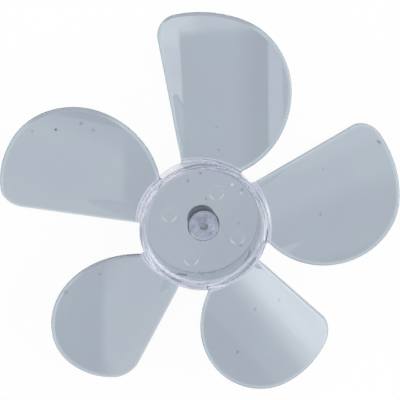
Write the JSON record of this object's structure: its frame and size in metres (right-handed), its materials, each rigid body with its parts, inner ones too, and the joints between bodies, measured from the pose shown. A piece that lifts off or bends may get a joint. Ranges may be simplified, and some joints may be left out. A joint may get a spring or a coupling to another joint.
{
  "type": "fan blade",
  "caption": "Clear moulded fan blade: broad curved blades round a cup-shaped hub, with a central boss bored for a motor shaft.",
  "frame": {"origin": "on the wheel's axis at the rear end of the hub and boss, where the motor shaft enters the bore", "axes": "+Z along the axis towards the front recess and the blades' humped side; +Y along the middle line of one blade"},
  "size_m": [0.1559, 0.1521, 0.0202],
  "materials": {
    "clear_plastic": "clear, gloss"
  },
  "bodies": {
    "root": {"fan_blade": "clear_plastic"}
  },
  "joints": []
}
